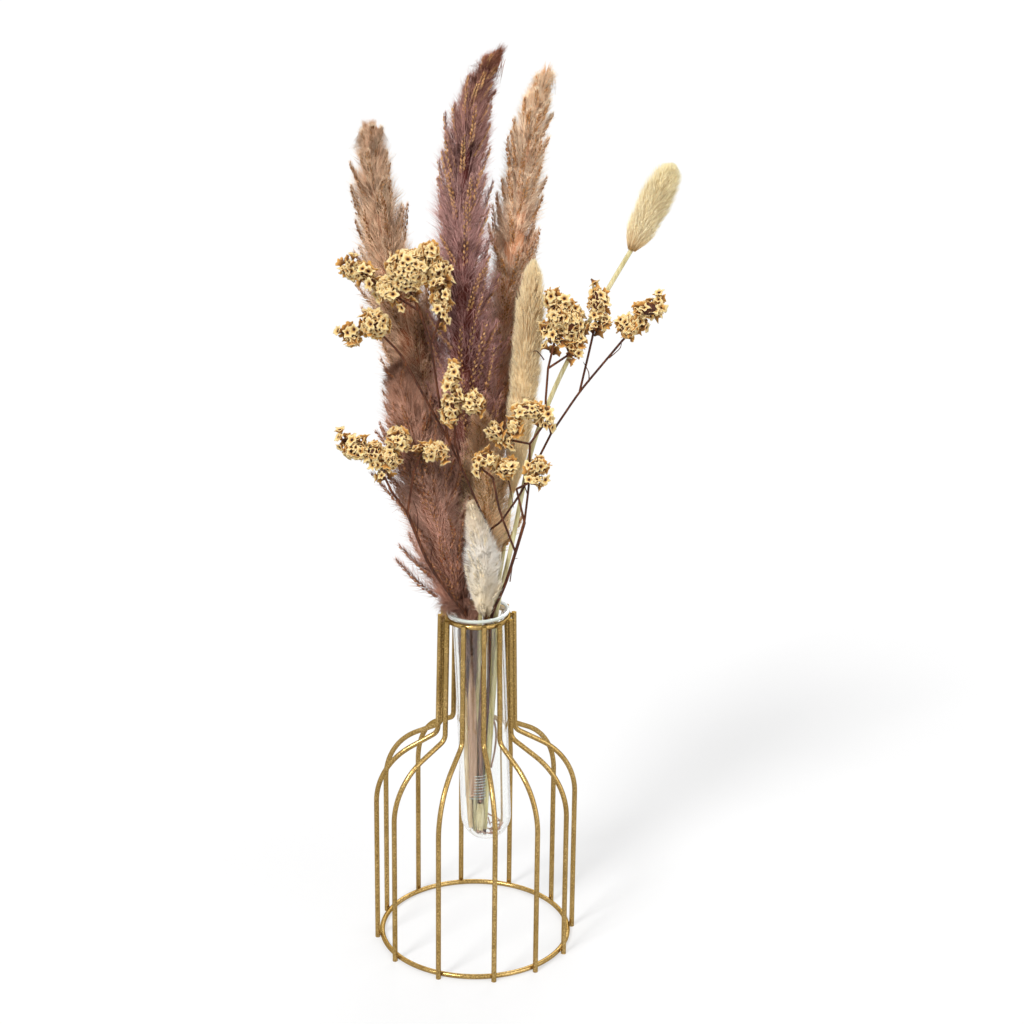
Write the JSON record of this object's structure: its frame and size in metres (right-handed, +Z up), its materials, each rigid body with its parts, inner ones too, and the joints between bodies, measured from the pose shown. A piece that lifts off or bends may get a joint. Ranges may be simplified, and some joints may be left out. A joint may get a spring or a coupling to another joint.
{
  "type": "wire cage bud vase",
  "caption": "Bottle-shaped gold wire cage holding a leaning glass test tube with a tied bunch of dried grass plumes, bunny tails and statice.",
  "frame": {"origin": "on the floor, at the axis of the round cage, level with the wires' cut feet", "axes": "+Z up along the cage's axis, -Y to the front, +X to the right of the picture"},
  "size_m": [0.1572, 0.101, 0.4471],
  "materials": {
    "gold_wire": "satin",
    "clear_glass": "gloss",
    "tan_plume": "matte",
    "mauve_plume": "matte",
    "golden_plume": "matte",
    "brown_plume": "matte",
    "cream_plume": "matte",
    "cream_tail": "matte",
    "reed_stem": "matte",
    "straw_stem": "matte",
    "dark_twig": "matte",
    "cream_floret": "matte",
    "clear_thread": "gloss"
  },
  "bodies": {
    "cage": {"base_ring": "gold_wire", "top_ring": "gold_wire", "cage_wire_01": "gold_wire", "cage_wire_02": "gold_wire", "cage_wire_03": "gold_wire", "cage_wire_04": "gold_wire", "cage_wire_05": "gold_wire", "cage_wire_06": "gold_wire", "cage_wire_07": "gold_wire", "cage_wire_08": "gold_wire", "cage_wire_09": "gold_wire", "cage_wire_10": "gold_wire", "cage_wire_11": "gold_wire", "cage_wire_12": "gold_wire"},
    "tube": {"glass_tube": "clear_glass"},
    "bunch": {"plume_left_head": "tan_plume", "plume_left_stem": "reed_stem", "plume_centre_head": "mauve_plume", "plume_centre_stem": "reed_stem", "plume_right_head": "tan_plume", "plume_right_stem": "reed_stem", "plume_short_head": "golden_plume", "plume_short_stem": "reed_stem", "plume_low_head": "brown_plume", "plume_low_stem": "reed_stem", "plume_small_head": "cream_plume", "plume_small_stem": "reed_stem", "tail_long_head": "cream_tail", "tail_long_stem": "straw_stem", "tail_small_head": "cream_tail", "tail_small_stem": "straw_stem", "sprig_centre_stem": "dark_twig", "sprig_left_stem": "dark_twig", "sprig_right_stem": "dark_twig", "blooms_upper_left": "cream_floret", "blooms_middle": "cream_floret", "blooms_right": "cream_floret", "blooms_lower_left": "cream_floret", "blooms_lower_right": "cream_floret", "stem_binding": "clear_thread"}
  },
  "joints": [
    {"name": "tube_lift", "type": "slide", "parent": "cage", "child": "tube", "axis": [-0.0419, 0, 0.9991], "range_m": [0, 0.13]},
    {"name": "bunch_lift", "type": "slide", "parent": "tube", "child": "bunch", "axis": [-0.0419, 0, 0.9991], "range_m": [0, 0.125]}
  ]
}
